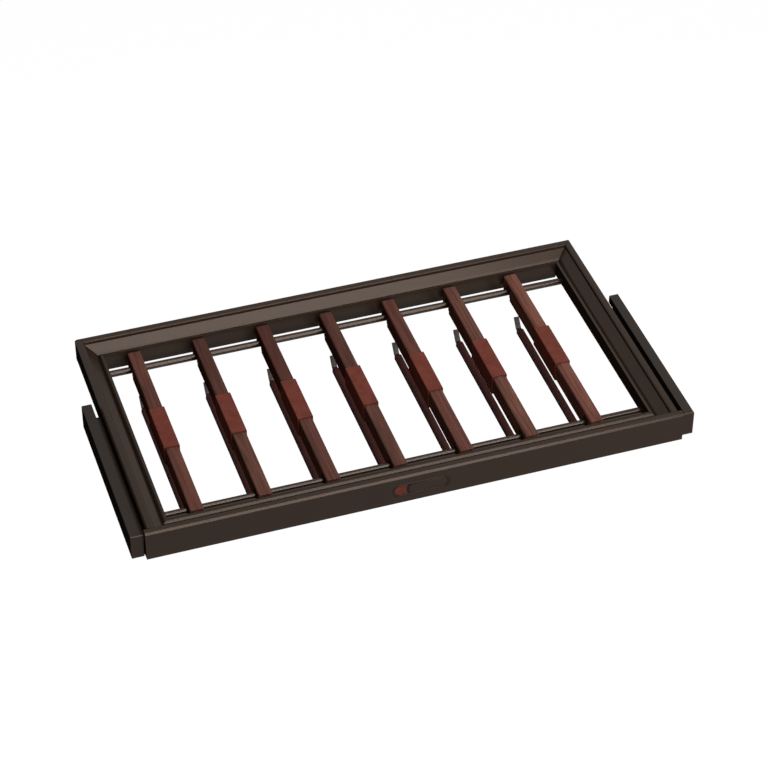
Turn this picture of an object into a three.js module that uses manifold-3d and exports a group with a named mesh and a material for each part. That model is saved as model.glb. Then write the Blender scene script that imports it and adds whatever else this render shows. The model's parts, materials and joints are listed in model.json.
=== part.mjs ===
// Pull-out trouser rack: a mitred frame on two telescopic slides, with hangers that hook over two rods.
// Millimetres. +X runs to the right, -Y faces the user, +Z is up.

import * as THREE from 'three';
import { mergeVertices } from 'three/addons/utils/BufferGeometryUtils.js';
import Module from 'manifold-3d';

const wasm = await Module();
wasm.setup();

// Clearances
const seatGap = 0.3;
const runGap = 0.4;
const cutOverrun = 5;

// Cabinet and frame, measured from the fascia's front face and lower edge
const cabinetWidth = 864;
const slideGap = 9.4;
const frameDepth = 456.3;
const frameTop = 49.5;
const fasciaOverhang = 4.7;
const sideLift = 11.3;
const rearLift = 6.4;

// Frame moulding, measured inwards from its outer face and downwards from its top
const mouldingWidth = 36;
const mouldingWall = 1.8;
const chamferRun = 2.2;
const chamferDrop = 3.7;
const flatEnd = 9.1;
const nosingRun = 2.9;
const nosingDrop = 3;
const nosingSteps = 6;
const riserDrop = 3.1;
const slopeRun = 13.1;
const slopeDrop = 8.5;
const valleyRun = 3.4;
const valleyDrop = 3.8;
const lipRun = 1.2;
const lipRise = 4;
const lipTilt = 0.6;
const fasciaWall = 2.4;
const fasciaEndWall = 2;

// Corner keys inside the mitres
const keyArm = 45;
const keyThickness = 5;
const keyHeight = 14;
const keyDrop = 13.6;

// Rods
const rodDiameter = 10.5;
const rodHeight = 18.2;
const rodSetback = 62;
const rodTail = 4;
const rodSides = 24;

// Hangers, side by side along the rods
const hangerCount = 7;
const leftMargin = 45.85;
const rightMargin = 81.15;
const barWidth = 20.2;
const barTop = 36;
const barHeight = 30.1;
const barOverhang = 20.3;
const barCrown = 0.6;
const barLeftEdge = 2.7;
const barRightEdge = 1.3;
const edgeTurn = THREE.MathUtils.degToRad(80);
const barNose = 1.2;
const slotWidth = 17.5;
const slotRise = 9;
const hookLift = 3.2;
const glideReach = 7.2;
const glideInset = 0.2;
const throatSteps = 12;

// Leather sleeve round the middle of each top bar
const sleeveLength = 91;
const sleeveWall = 1.7;
const sleeveGap = 0.25;
const sleeveEdge = 1.5;

// Bent steel strip under each top bar, and the soft bar on it
const stripWidth = 8.5;
const stripThickness = 3;
const stripDepth = 39;
const uprightOffset = 22;
const mortiseDepth = 16;
const footBend = 8;
const tipBend = 6;
const tipAngle = THREE.MathUtils.degToRad(52.5);
const tipLength = 16.6;
const tipSetback = 29.8;
const bendSteps = 8;
const lowerBarWidth = 11.8;
const lowerBarHeight = 10;
const lowerBarRadius = 3.4;
const lowerBarNeck = 4;
const lowerBarTail = 3.1;
const cornerSteps = 4;

// Slides: a cover fixed to the cabinet, an intermediate member and a drawer member on the frame
const slideLength = 300;
const slideFront = 7.7;
const coverThickness = 15.3;
const coverHeight = 41;
const coverLift = 0.9;
const coverWall = 1.5;
const coverBevel = 1;
const raceHeight = 23.5;
const memberWall = 1.2;
const armWall = 1.4;
const intermediateTrim = 12;
const drawerTrim = 16;
const capThickness = 1.3;
const capGap = 1.4;
const screwDiameter = 4.5;
const screwInset = 32;
const screwSides = 12;

// Badge let into the fascia
const badgeLength = 89;
const badgeHeight = 24;
const badgeLift = 23;
const badgeThickness = 1;
const badgePocket = 1.3;
const badgeInlay = 26;
const badgeBulge = 4;
const badgeSteps = 12;

// Worked out from the sizes above
const mid = frameDepth / 2;
const cabinetFace = cabinetWidth / 2;
const coverMouth = cabinetFace - coverThickness;
const sideFace = coverMouth - slideGap;
const innerFace = sideFace - mouldingWidth;
const riserFace = flatEnd + nosingRun;
const plateDepth = riserFace - mouldingWall;
const slopeHeadTop = frameTop - nosingDrop - riserDrop;
const slopeFoot = riserFace + slopeRun;
const slopeFootTop = slopeHeadTop - slopeDrop;
const valleyFoot = slopeFoot + valleyRun;
const valleyTop = slopeFootTop - valleyDrop;
const lipTop = valleyTop + lipRise;
const rodRadius = rodDiameter / 2;
const frontRod = rodSetback;
const rearRod = frameDepth - rodSetback;
const barBottom = barTop - barHeight;
const barFront = frontRod - barOverhang;
const barRear = rearRod + barOverhang;
const hangerPitch = (2 * innerFace - leftMargin - rightMargin) / (hangerCount - 1);
const coverTop = coverLift + coverHeight;
const coverFront = slideFront + capThickness + seatGap;
const coverRear = slideFront + slideLength;
const raceFloor = coverLift + coverWall;
const raceTop = raceFloor + raceHeight;

// Materials
function finish(color, roughness, metalness) {
  return new THREE.MeshStandardMaterial({ color, roughness, metalness });
}

function bronzePaint() {
  return finish(0x3a302a, 0.45, 0.5);
}

function slidePaint() {
  return finish(0x352d27, 0.5, 0.45);
}

function innerSteel() {
  return finish(0x2a2420, 0.45, 0.7);
}

function rodSteel() {
  return finish(0x55493f, 0.25, 0.9);
}

function walnut() {
  return finish(0x4e2f24, 0.45, 0);
}

function saddleLeather() {
  return finish(0x6b3326, 0.6, 0);
}

function softGrip() {
  return finish(0x3f2020, 0.7, 0);
}

function stripSteel() {
  return finish(0x55524f, 0.35, 0.9);
}

function glidePlastic() {
  return finish(0x1c1917, 0.5, 0);
}

function keyMetal() {
  return finish(0x8c8c8a, 0.5, 0.7);
}

// Solids from closed geometries, joined and cut
function solidOf(geometry) {
  const bare = geometry.clone();
  bare.deleteAttribute('normal');
  bare.deleteAttribute('uv');
  const merged = mergeVertices(bare);
  const vertProperties = new Float32Array(merged.attributes.position.array);
  const triVerts = new Uint32Array(merged.index.array);
  return new wasm.Manifold(new wasm.Mesh({ numProp: 3, vertProperties, triVerts }));
}

function geometryOf(solid) {
  const { vertProperties, triVerts } = solid.getMesh();
  const geometry = new THREE.BufferGeometry();
  geometry.setAttribute('position', new THREE.BufferAttribute(vertProperties, 3));
  geometry.setIndex(new THREE.BufferAttribute(triVerts, 1));
  geometry.computeVertexNormals();
  return geometry;
}

function piece(name, solid, material) {
  const mesh = new THREE.Mesh(geometryOf(solid), material);
  mesh.name = name;
  return mesh;
}

// An outline pushed along one axis from one place to another
function outlineOf(points) {
  return new THREE.Shape(points.map(([a, b]) => new THREE.Vector2(a, b)));
}

function pushed(points, length) {
  return new THREE.ExtrudeGeometry(outlineOf(points), { depth: length, bevelEnabled: false });
}

function alongX(points, from, to) {
  const geometry = pushed(points, to - from);
  const axes = [new THREE.Vector3(0, 1, 0), new THREE.Vector3(0, 0, 1), new THREE.Vector3(1, 0, 0)];
  geometry.applyMatrix4(new THREE.Matrix4().makeBasis(...axes));
  return solidOf(geometry.translate(from, 0, 0));
}

function alongY(points, from, to) {
  const geometry = pushed(points, to - from);
  const axes = [new THREE.Vector3(1, 0, 0), new THREE.Vector3(0, 0, 1), new THREE.Vector3(0, -1, 0)];
  geometry.applyMatrix4(new THREE.Matrix4().makeBasis(...axes));
  return solidOf(geometry.translate(0, to, 0));
}

function alongZ(points, from, to) {
  return solidOf(pushed(points, to - from).translate(0, 0, from));
}

function rectangle(left, right, low, high) {
  return [[left, low], [right, low], [right, high], [left, high]];
}

function arc(a, b, radius, start, turn, steps) {
  return Array.from({ length: steps + 1 }, (_, i) => {
    const angle = start + (turn * i) / steps;
    return [a + radius * Math.cos(angle), b + radius * Math.sin(angle)];
  });
}

function circle(a, b, radius, sides) {
  return arc(a, b, radius, 0, 2 * Math.PI, sides).slice(0, sides);
}

// A line at an even distance to the left of another one, with mitred corners
function besideLine(line, distance) {
  const edges = line.slice(1).map(([a, b], i) => {
    return new THREE.Vector2(a - line[i][0], b - line[i][1]).normalize();
  });
  return line.map(([a, b], i) => {
    const before = edges[Math.max(i - 1, 0)];
    const after = edges[Math.min(i, edges.length - 1)];
    const along = before.clone().add(after).normalize();
    const reach = distance / along.dot(before);
    return [a - reach * along.y, b + reach * along.x];
  });
}

// Show face of the moulding, inwards: chamfer, flat, round nosing, riser, slope, valley, raised lip
function mouldingFace() {
  const nosing = Array.from({ length: nosingSteps + 1 }, (_, i) => {
    const angle = (Math.PI * i) / (2 * nosingSteps);
    return [flatEnd + nosingRun * Math.sin(angle), frameTop - nosingDrop * (1 - Math.cos(angle))];
  });
  return [
    [0, frameTop - chamferDrop],
    [chamferRun, frameTop],
    ...nosing,
    [riserFace, slopeHeadTop],
    [slopeFoot, slopeFootTop],
    [valleyFoot, valleyTop],
    [valleyFoot + lipRun, lipTop],
    [mouldingWidth, lipTop + lipTilt],
  ];
}

// Section of a profile: the show face and two walls, all of one thickness and open below
function profileSection(bottom) {
  const line = [[0, bottom], ...mouldingFace(), [mouldingWidth, bottom]];
  return [...line, ...besideLine(line, -mouldingWall).reverse()];
}

// Plan of the space between the two mitres of a front or rear profile
function mitrePlan(outerY, inwards) {
  const reach = mouldingWidth + cutOverrun;
  const wide = sideFace + cutOverrun - seatGap;
  const narrow = sideFace - reach - seatGap;
  const near = outerY - inwards * cutOverrun;
  const far = outerY + inwards * reach;
  return [[-wide, near], [wide, near], [narrow, far], [-narrow, far]];
}

// The fascia's plate runs past both mitres, and its moulding ends between them
function frontFascia() {
  const half = sideFace + fasciaOverhang;
  const hollowHalf = half - fasciaEndWall;
  const high = frameTop + cutOverrun;
  const solid = alongX([[0, 0], ...mouldingFace(), [mouldingWidth, 0]], -half, half);
  const front = alongZ(rectangle(-half, half, -cutOverrun, plateDepth), -cutOverrun, high);
  const hollow = alongZ(
    rectangle(-hollowHalf, hollowHalf, fasciaWall, plateDepth - mouldingWall),
    -cutOverrun,
    frameTop - mouldingWall,
  );
  const between = alongZ(mitrePlan(0, 1), -cutOverrun, high);
  const moulding = alongX(profileSection(sideLift), -half, half).intersect(between);
  const pocket = alongY(badgeOutline(0), -cutOverrun, badgePocket);
  return solid.intersect(front).subtract(hollow).add(moulding).subtract(pocket);
}

function rearProfile() {
  const section = profileSection(rearLift).map(([inwards, z]) => [frameDepth - inwards, z]);
  const body = alongX(section, -sideFace, sideFace);
  return body.intersect(alongZ(mitrePlan(frameDepth, -1), -cutOverrun, frameTop + cutOverrun));
}

// A side profile is mitred to the rear, and at the front behind the fascia's plate
function sideProfile(side) {
  const section = profileSection(sideLift).map(([inwards, z]) => [side * (sideFace - inwards), z]);
  const body = alongY(section, 0, frameDepth);
  const outer = side * sideFace;
  const inner = side * innerFace;
  const plan = [
    [outer, plateDepth + seatGap],
    [side * (sideFace - plateDepth), plateDepth + seatGap],
    [inner, mouldingWidth + seatGap],
    [inner, frameDepth - mouldingWidth - seatGap],
    [outer, frameDepth - seatGap],
  ];
  const kept = body.intersect(alongZ(plan, 0, frameTop + cutOverrun));
  return kept.subtract(rodBore(frontRod)).subtract(rodBore(rearRod)).subtract(frameScrewHoles(side));
}

function rodBore(y) {
  const half = sideFace - mouldingWall - cutOverrun;
  return alongX(circle(y, rodHeight, rodRadius + seatGap, rodSides), -half, half);
}

function rod(y) {
  const half = innerFace + mouldingWall + rodTail;
  return alongX(circle(y, rodHeight, rodRadius, rodSides), -half, half);
}

// L-shaped key in a corner of the frame, with a gusset across its inner angle
function cornerKey(side, wallY, inwards) {
  const x = (out) => side * (sideFace - mouldingWall - seatGap - out);
  const y = (out) => wallY + inwards * (seatGap + out);
  const plan = [
    [x(0), y(0)],
    [x(keyArm), y(0)],
    [x(keyArm), y(keyThickness)],
    [x(2 * keyThickness), y(keyThickness)],
    [x(keyThickness), y(2 * keyThickness)],
    [x(keyThickness), y(keyArm)],
    [x(0), y(keyArm)],
  ];
  return alongZ(plan, frameTop - keyDrop - keyHeight, frameTop - keyDrop);
}

// Badge
function badgeOutline(gap) {
  const radius = badgeHeight / 2 - gap;
  const centre = badgeLength / 2 - badgeHeight / 2;
  return [
    ...arc(centre, badgeLift, radius, -Math.PI / 2, Math.PI, badgeSteps),
    ...arc(-centre, badgeLift, radius, Math.PI / 2, Math.PI, badgeSteps),
  ];
}

// The line between inlay and plate bows towards the inlay by the badge's bulge
function badgeSplit(offset) {
  const seam = -badgeLength / 2 + badgeInlay + offset;
  const reach = badgeHeight / 2 + cutOverrun;
  const bow = Array.from({ length: badgeSteps + 1 }, (_, i) => {
    const share = (2 * i) / badgeSteps - 1;
    return [seam - badgeBulge * (1 - share * share), badgeLift + share * reach];
  });
  const far = badgeLength / 2 + cutOverrun;
  return [...bow, [far, badgeLift + reach], [far, badgeLift - reach]];
}

function badgeBlank() {
  const back = badgePocket - seatGap;
  return alongY(badgeOutline(seatGap), back - badgeThickness, back);
}

function badgePlate() {
  return badgeBlank().intersect(alongY(badgeSplit(0), -cutOverrun, cutOverrun));
}

function badgeLeather() {
  return badgeBlank().subtract(alongY(badgeSplit(-seatGap), -cutOverrun, cutOverrun));
}

// Cross-section of a top bar grown by some amount: flat sides, two rounded edges, crowned top
function barCross(grow, leftEdge, rightEdge) {
  const half = barWidth / 2 + grow;
  const low = barBottom - grow;
  const shoulder = barTop - barCrown + grow;
  const rounded = (edge) => arc(half - edge, shoulder - edge, edge, 0, edgeTurn, cornerSteps);
  const left = rounded(leftEdge).map(([x, z]) => [-x, z]).reverse();
  return [[-half, low], [half, low], ...rounded(rightEdge), [0, barTop + grow], ...left];
}

// Side view of a top bar: a straight rail whose two ends hook over the rods
function barSide() {
  const slot = slotWidth / 2;
  const slotTop = rodHeight + slotRise;
  const hook = barBottom + hookLift;
  return [
    [barFront, hook],
    [frontRod - slot, hook],
    [frontRod - slot, slotTop],
    [frontRod + slot, slotTop],
    [frontRod + slot, barBottom],
    [rearRod - slot, barBottom],
    [rearRod - slot, slotTop],
    [rearRod + slot, slotTop],
    [rearRod + slot, hook],
    [barRear, hook],
    [barRear, barTop - barNose],
    [barRear - barNose, barTop],
    [barFront + barNose, barTop],
    [barFront, barTop - barNose],
  ];
}

function topBar() {
  const half = barWidth / 2;
  const body = alongX(barSide(), -half, half);
  const cross = barCross(0, barLeftEdge, barRightEdge);
  const shaped = body.intersect(alongY(cross, barFront - cutOverrun, barRear + cutOverrun));
  const mortise = stripThickness / 2 + seatGap;
  const y = frontRod + uprightOffset;
  const width = stripWidth / 2 + seatGap;
  const pocket = alongX(
    rectangle(y - mortise, y + mortise, barBottom - cutOverrun, barBottom + mortiseDepth + seatGap),
    -width,
    width,
  );
  return shaped.subtract(pocket);
}

function leatherSleeve() {
  const from = mid - sleeveLength / 2;
  const to = mid + sleeveLength / 2;
  const outer = barCross(sleeveGap + sleeveWall, sleeveEdge, sleeveEdge);
  const bore = barCross(sleeveGap, barLeftEdge + sleeveGap, barRightEdge + sleeveGap);
  return alongY(outer, from, to).subtract(alongY(bore, from - cutOverrun, to + cutOverrun));
}

// Liner in a hook: a saddle whose round throat sits on the rod
function glide(y) {
  const throat = rodRadius + seatGap;
  const half = slotWidth / 2 - seatGap;
  const foot = rodHeight - glideReach;
  const outline = [
    [y - throat, foot],
    [y - half, foot],
    [y - half, rodHeight + slotRise - seatGap],
    [y + half, rodHeight + slotRise - seatGap],
    [y + half, foot],
    [y + throat, foot],
    ...arc(y, rodHeight, throat, 0, Math.PI, throatSteps),
  ];
  const width = barWidth / 2 - glideInset;
  return alongX(outline, -width, width);
}

// Middle line of the strip: down the upright, along under the bar and up at the tip
function stripLine() {
  const upright = frontRod + uprightOffset;
  const top = barBottom + mortiseDepth;
  const foot = arc(upright + footBend, footBend - stripDepth, footBend, Math.PI, Math.PI / 2, bendSteps);
  const bendAt = rearRod - tipSetback;
  const tip = arc(bendAt, tipBend - stripDepth, tipBend, -Math.PI / 2, tipAngle, bendSteps);
  const [lastY, lastZ] = tip[bendSteps];
  const end = [lastY + tipLength * Math.cos(tipAngle), lastZ + tipLength * Math.sin(tipAngle)];
  return [[upright, top], ...foot, ...tip, end];
}

function steelStrip() {
  const line = stripLine();
  const half = stripThickness / 2;
  const band = [...besideLine(line, half), ...besideLine(line, -half).reverse()];
  return alongX(band, -stripWidth / 2, stripWidth / 2);
}

function roundedSection(width, height, radius, middle) {
  const a = width / 2 - radius;
  const b = height / 2 - radius;
  const corner = (x, z, start) => arc(x, z + middle, radius, start, Math.PI / 2, cornerSteps);
  return [
    ...corner(a, -b, -Math.PI / 2),
    ...corner(a, b, 0),
    ...corner(-a, b, Math.PI / 2),
    ...corner(-a, -b, Math.PI),
  ];
}

function lowerBar() {
  const from = frontRod + uprightOffset + footBend + lowerBarNeck;
  const to = rearRod - tipSetback - lowerBarTail;
  const outer = roundedSection(lowerBarWidth, lowerBarHeight, lowerBarRadius, -stripDepth);
  const halfWidth = stripWidth / 2 + seatGap;
  const halfThick = stripThickness / 2 + seatGap;
  const bore = rectangle(-halfWidth, halfWidth, -stripDepth - halfThick, -stripDepth + halfThick);
  return alongY(outer, from, to).subtract(alongY(bore, from - cutOverrun, to + cutOverrun));
}

function hanger(number) {
  const group = new THREE.Group();
  group.position.x = leftMargin - innerFace + hangerPitch * (number - 1);
  group.add(piece(`hanger${number}_top_bar`, topBar(), walnut()));
  group.add(piece(`hanger${number}_leather_sleeve`, leatherSleeve(), saddleLeather()));
  group.add(piece(`hanger${number}_steel_strip`, steelStrip(), stripSteel()));
  group.add(piece(`hanger${number}_lower_bar`, lowerBar(), softGrip()));
  group.add(piece(`hanger${number}_front_glide`, glide(frontRod), glidePlastic()));
  group.add(piece(`hanger${number}_rear_glide`, glide(rearRod), glidePlastic()));
  return group;
}

// Screw holes along a slide, as pins through its web
function screwHoles(side, from, to, height) {
  const places = [slideFront + screwInset, (slideFront + coverRear) / 2, coverRear - screwInset];
  const ends = [side * from, side * to].sort((a, b) => a - b);
  return places
    .map((y) => alongX(circle(y, height, screwDiameter / 2, screwSides), ...ends))
    .reduce((all, hole) => all.add(hole));
}

function frameScrewHeight() {
  return (sideLift + raceTop) / 2;
}

function frameScrewHoles(side) {
  return screwHoles(side, sideFace - mouldingWall - cutOverrun, sideFace + cutOverrun, frameScrewHeight());
}

// Cover: a casing closed above, with the fixed race of the slide in its lower half
function slideCover(side) {
  const web = cabinetFace - coverWall;
  const lip = coverMouth + coverWall;
  const shelf = raceTop + coverWall;
  const section = [
    [coverMouth, coverLift],
    [cabinetFace, coverLift],
    [cabinetFace, coverTop - coverBevel],
    [cabinetFace - coverBevel, coverTop],
    [coverMouth, coverTop],
    [coverMouth, shelf + coverBevel],
    [lip, shelf + coverBevel],
    [lip, coverTop - coverWall],
    [web, coverTop - coverWall],
    [web, shelf],
    [lip, shelf],
    [lip, raceTop],
    [web, raceTop],
    [web, raceFloor],
    [coverMouth, raceFloor],
  ];
  const body = alongY(section.map(([x, z]) => [side * x, z]), coverFront, coverRear);
  const middle = (raceFloor + raceTop) / 2;
  return body.subtract(screwHoles(side, web - cutOverrun, cabinetFace + cutOverrun, middle));
}

// Channel open towards the frame, given its outer faces
function channelSection(mouth, back, low, high, wall) {
  return [
    [mouth, low],
    [back, low],
    [back, high],
    [mouth, high],
    [mouth, high - wall],
    [back - wall, high - wall],
    [back - wall, low + wall],
    [mouth, low + wall],
  ];
}

function intermediateMember(side) {
  const mouth = coverMouth + coverWall;
  const back = cabinetFace - coverWall - runGap;
  const section = channelSection(mouth, back, raceFloor + runGap, raceTop - runGap, memberWall);
  const placed = section.map(([x, z]) => [side * x, z]);
  return alongY(placed, coverFront, coverRear - intermediateTrim);
}

// Drawer member: a web on the frame with outer lips, two arms into the slide and a cap at the front
function drawerMember(side) {
  const lipEnd = coverMouth - runGap;
  const armEnd = cabinetFace - coverWall - 2 * runGap - memberWall;
  const armLow = raceFloor + 2 * runGap + memberWall;
  const armHigh = raceTop - 2 * runGap - memberWall;
  const webFace = sideFace + coverWall;
  const low = coverLift;
  const high = raceTop + coverWall;
  const section = [
    [sideFace, low],
    [lipEnd, low],
    [lipEnd, low + coverWall],
    [webFace, low + coverWall],
    [webFace, armLow],
    [armEnd, armLow],
    [armEnd, armLow + armWall],
    [webFace, armLow + armWall],
    [webFace, armHigh - armWall],
    [armEnd, armHigh - armWall],
    [armEnd, armHigh],
    [webFace, armHigh],
    [webFace, high - coverWall],
    [lipEnd, high - coverWall],
    [lipEnd, high],
    [sideFace, high],
  ];
  const rail = alongY(section.map(([x, z]) => [side * x, z]), slideFront, coverRear - drawerTrim);
  const capInner = sideFace + fasciaOverhang + capGap;
  const capOutline = [
    [capInner, coverLift],
    [cabinetFace, coverLift],
    [cabinetFace, coverTop - coverBevel],
    [cabinetFace - coverBevel, coverTop],
    [capInner, coverTop],
  ];
  const cap = alongY(capOutline.map(([x, z]) => [side * x, z]), slideFront, slideFront + capThickness);
  const nookEnds = [side * (sideFace - cutOverrun), side * capInner].sort((a, b) => a - b);
  const nook = alongZ(rectangle(...nookEnds, 0, plateDepth + seatGap), -cutOverrun, frameTop);
  const holes = screwHoles(side, sideFace - cutOverrun, webFace + cutOverrun, frameScrewHeight());
  return rail.add(cap).subtract(nook).subtract(holes);
}

// Assembly
function frame() {
  const group = new THREE.Group();
  group.add(piece('front_fascia', frontFascia(), bronzePaint()));
  group.add(piece('rear_profile', rearProfile(), bronzePaint()));
  group.add(piece('left_profile', sideProfile(-1), bronzePaint()));
  group.add(piece('right_profile', sideProfile(1), bronzePaint()));
  group.add(piece('front_left_corner_key', cornerKey(-1, plateDepth, 1), keyMetal()));
  group.add(piece('front_right_corner_key', cornerKey(1, plateDepth, 1), keyMetal()));
  group.add(piece('rear_left_corner_key', cornerKey(-1, frameDepth - mouldingWall, -1), keyMetal()));
  group.add(piece('rear_right_corner_key', cornerKey(1, frameDepth - mouldingWall, -1), keyMetal()));
  group.add(piece('front_rod', rod(frontRod), rodSteel()));
  group.add(piece('rear_rod', rod(rearRod), rodSteel()));
  group.add(piece('badge_plate', badgePlate(), bronzePaint()));
  group.add(piece('badge_leather', badgeLeather(), saddleLeather()));
  return group;
}

function slide(name, side) {
  const group = new THREE.Group();
  group.add(piece(`${name}_slide_cover`, slideCover(side), slidePaint()));
  group.add(piece(`${name}_slide_intermediate`, intermediateMember(side), innerSteel()));
  group.add(piece(`${name}_slide_drawer_member`, drawerMember(side), slidePaint()));
  return group;
}

const rack = new THREE.Group();
rack.add(frame());
rack.add(slide('left', -1));
rack.add(slide('right', 1));
for (let number = 1; number <= hangerCount; number += 1) {
  rack.add(hanger(number));
}

// The origin is the middle of the whole rack
rack.position.sub(new THREE.Box3().setFromObject(rack).getCenter(new THREE.Vector3()));

export default rack;
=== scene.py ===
"""Looks of a pull-out trouser rack: bronze frame, wooden hangers, leather sleeves and slides.

Every length is in metres. +X runs to the right, -Y faces the user and +Z is up. Pieces take their
places from the boxes of the fixed frame's nodes, and each one rides on the body that carries it.
"""

import json
import logging
from collections.abc import Callable
from dataclasses import dataclass, field
from enum import Enum
from math import cos, pi, radians, sin

import bmesh
import bpy
import numpy as np
from mathutils import Matrix, Vector

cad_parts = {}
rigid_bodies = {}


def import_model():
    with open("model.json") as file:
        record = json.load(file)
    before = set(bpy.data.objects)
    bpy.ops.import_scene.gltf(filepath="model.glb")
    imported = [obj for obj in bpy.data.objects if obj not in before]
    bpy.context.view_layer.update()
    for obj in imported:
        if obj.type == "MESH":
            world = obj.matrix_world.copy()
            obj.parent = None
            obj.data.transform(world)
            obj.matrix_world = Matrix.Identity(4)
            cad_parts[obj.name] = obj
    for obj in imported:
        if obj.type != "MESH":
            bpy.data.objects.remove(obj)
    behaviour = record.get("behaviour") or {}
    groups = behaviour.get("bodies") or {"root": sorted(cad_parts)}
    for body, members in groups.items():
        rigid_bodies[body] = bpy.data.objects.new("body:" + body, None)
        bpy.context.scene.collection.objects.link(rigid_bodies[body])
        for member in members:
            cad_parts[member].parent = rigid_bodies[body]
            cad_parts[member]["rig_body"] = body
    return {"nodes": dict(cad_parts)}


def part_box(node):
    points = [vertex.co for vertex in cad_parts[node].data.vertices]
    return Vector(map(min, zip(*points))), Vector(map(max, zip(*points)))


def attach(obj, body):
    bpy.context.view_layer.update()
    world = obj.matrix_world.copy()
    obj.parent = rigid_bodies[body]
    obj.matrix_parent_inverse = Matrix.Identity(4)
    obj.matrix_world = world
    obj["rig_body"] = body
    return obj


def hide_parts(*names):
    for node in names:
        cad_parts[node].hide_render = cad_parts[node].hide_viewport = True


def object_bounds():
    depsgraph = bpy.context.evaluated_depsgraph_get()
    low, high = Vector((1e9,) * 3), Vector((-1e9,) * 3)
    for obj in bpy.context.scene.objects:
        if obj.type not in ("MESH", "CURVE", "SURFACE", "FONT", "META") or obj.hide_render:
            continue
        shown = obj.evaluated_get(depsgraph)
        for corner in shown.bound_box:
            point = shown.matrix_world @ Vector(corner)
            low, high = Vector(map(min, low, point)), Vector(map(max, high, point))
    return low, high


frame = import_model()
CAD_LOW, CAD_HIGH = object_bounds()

LOG = logging.getLogger("trouser_rack")
MM = 0.001
MERGE_DISTANCE = 0.002 * MM
COPLANAR_ANGLE = radians(0.5)
Array = np.ndarray
Colour = tuple[float, float, float]
Point = tuple[float, float, float]
Faces = list[list[int]]
Shell = tuple[Array, Faces]
Piece = bpy.types.Object
Socket = bpy.types.NodeSocket
Material = bpy.types.Material


class Side(Enum):
    """Side of the rack as the user sees it."""

    LEFT = "left"
    RIGHT = "right"

    @property
    def sign(self) -> int:
        """Sign of X on this side."""
        return 1 if self is Side.RIGHT else -1


def srgb(red: int, green: int, blue: int) -> Colour:
    """Linear colour of an sRGB one: a power of 2.4, with a straight part near black.

    Args:
        red: Red channel from 0 to 255.
        green: Green channel from 0 to 255.
        blue: Blue channel from 0 to 255.

    Returns:
        Linear red, green and blue.
    """
    share = np.array([red, green, blue]) / 255
    linear = np.where(share <= 0.04045, share / 12.92, ((share + 0.055) / 1.055) ** 2.4)
    return tuple(float(v) for v in linear)


def shade(tone: Colour, factor: float) -> Colour:
    """The tone times a factor."""
    return tuple(v * factor for v in tone)


# Surfaces


def arc(middle: tuple[float, float], radius: float, start: float, turn: float,
        steps: int) -> Array:
    """Points on an arc: middle plus radius times the cosine and sine of evenly spaced angles.

    Args:
        middle: Centre of the arc in the plane of the outline.
        radius: Radius of the arc.
        start: First angle in radians.
        turn: Angle that the arc covers, counter-clockwise when positive.
        steps: Number of chords.

    Returns:
        Array of steps + 1 points with two columns.
    """
    angle = start + turn * np.linspace(0, 1, steps + 1)
    across = middle[0] + radius * np.cos(angle)
    upward = middle[1] + radius * np.sin(angle)
    return np.column_stack([across, upward])


def round_end(radius: float, points: int = 5) -> tuple[Array, Array]:
    """Stations of a rounded end, on a quarter circle.

    The way in from the end is the radius times one less the cosine of an evenly spaced angle,
    and the inset of the outline there is the radius times one less its sine.

    Args:
        radius: Radius of the rounding.
        points: Number of stations.

    Returns:
        Ways in and insets, from the end inwards.
    """
    angle = np.linspace(0, pi / 2, points)
    return radius * (1 - np.cos(angle)), radius * (1 - np.sin(angle))


def unit(vectors: Array) -> Array:
    """Rows divided by their lengths."""
    return vectors / np.linalg.norm(vectors, axis=1)[:, None]


def at_depth(outline: Array, y: float) -> Array:
    """Outline points in X and Z placed at one Y."""
    return np.column_stack([outline[:, 0], np.full(len(outline), y), outline[:, 1]])


def rounded_box_outline(width: float, height: float, radius: float, steps: int) -> Array:
    """Outline of a rectangle with round corners: four quarter arcs joined by straight runs.

    Args:
        width: Whole width.
        height: Whole height.
        radius: Corner radius.
        steps: Chords in each corner.

    Returns:
        Counter-clockwise outline round the origin, two columns.
    """
    a, b = width / 2 - radius, height / 2 - radius
    corners = [((a, -b), -pi / 2), ((a, b), 0), ((-a, b), pi / 2), ((-a, -b), pi)]
    return np.vstack([arc(middle, radius, start, pi / 2, steps) for middle, start in corners])


def tube_faces(rings: int, points: int, capped: bool = True) -> Faces:
    """Faces of a surface on a grid of rings: a quad between each two neighbours, and end caps.

    Args:
        rings: Number of rings along the path.
        points: Number of points round each ring.
        capped: Whether both ends get a flat cap.

    Returns:
        Index list of each face.
    """
    ring, point = np.meshgrid(np.arange(rings - 1), np.arange(points), indexing="ij")
    after = (point + 1) % points
    quads = np.stack([
        ring * points + point,
        ring * points + after,
        (ring + 1) * points + after,
        (ring + 1) * points + point,
    ], axis=-1).reshape(-1, 4)
    faces = quads.tolist()
    if capped:
        faces.append(list(range(points))[::-1])
        faces.append(list(range((rings - 1) * points, rings * points)))
    return faces


def closed_faces(rings: int, points: int) -> Faces:
    """Faces of a ring surface whose last ring joins its first, as a torus does."""
    faces = tube_faces(rings + 1, points, capped=False)
    return (np.array(faces) % (rings * points)).tolist()


def turned(faces: Faces) -> Faces:
    """The same faces looking the other way."""
    return [face[::-1] for face in faces]


def carried(outline: Array, path: Array, across: Array, upward: Array) -> Array:
    """A profile carried along a path: path point plus outline times the two cross directions.

    Args:
        outline: Profile points, two columns.
        path: Path points, three columns.
        across: Direction of the outline's first column at each path point.
        upward: Direction of the outline's second column at each path point.

    Returns:
        Array of shape path points by outline points by three.
    """
    first = outline[None, :, 0, None] * across[:, None, :]
    second = outline[None, :, 1, None] * upward[:, None, :]
    return path[:, None, :] + first + second


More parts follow.
